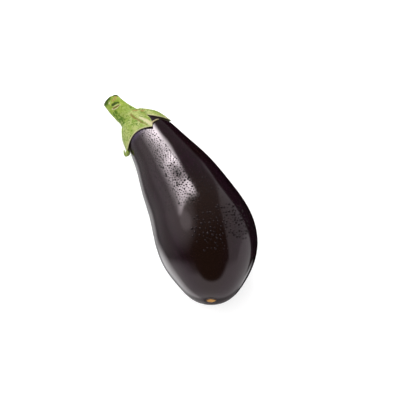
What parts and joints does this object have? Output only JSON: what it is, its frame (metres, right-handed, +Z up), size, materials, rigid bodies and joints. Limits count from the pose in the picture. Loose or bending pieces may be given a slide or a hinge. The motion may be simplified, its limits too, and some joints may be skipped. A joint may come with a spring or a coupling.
{
  "type": "eggplant",
  "caption": "Whole glossy, almost black purple eggplant with a bowed, pear-shaped body, a green lobed calyx, a cut stem and a corky blossom scar, lying on its side.",
  "frame": {"origin": "bottom centre of the whole object's box, on the surface that the fruit rests on", "axes": "+Z up, +X from the cut stem towards the blossom end, and the fruit bows out towards +Y"},
  "size_m": [0.2294, 0.0882, 0.0881],
  "materials": {
    "fruit_skin": "waxy glossy skin, almost black purple",
    "calyx_green": "fleshy green with a soft sheen, finely mottled, paler at the edges",
    "scar_cork": "dry tan cork, matt"
  },
  "bodies": {
    "root": {"fruit": "fruit_skin", "calyx_and_stem": "calyx_green", "blossom_scar": "scar_cork"}
  },
  "joints": []
}
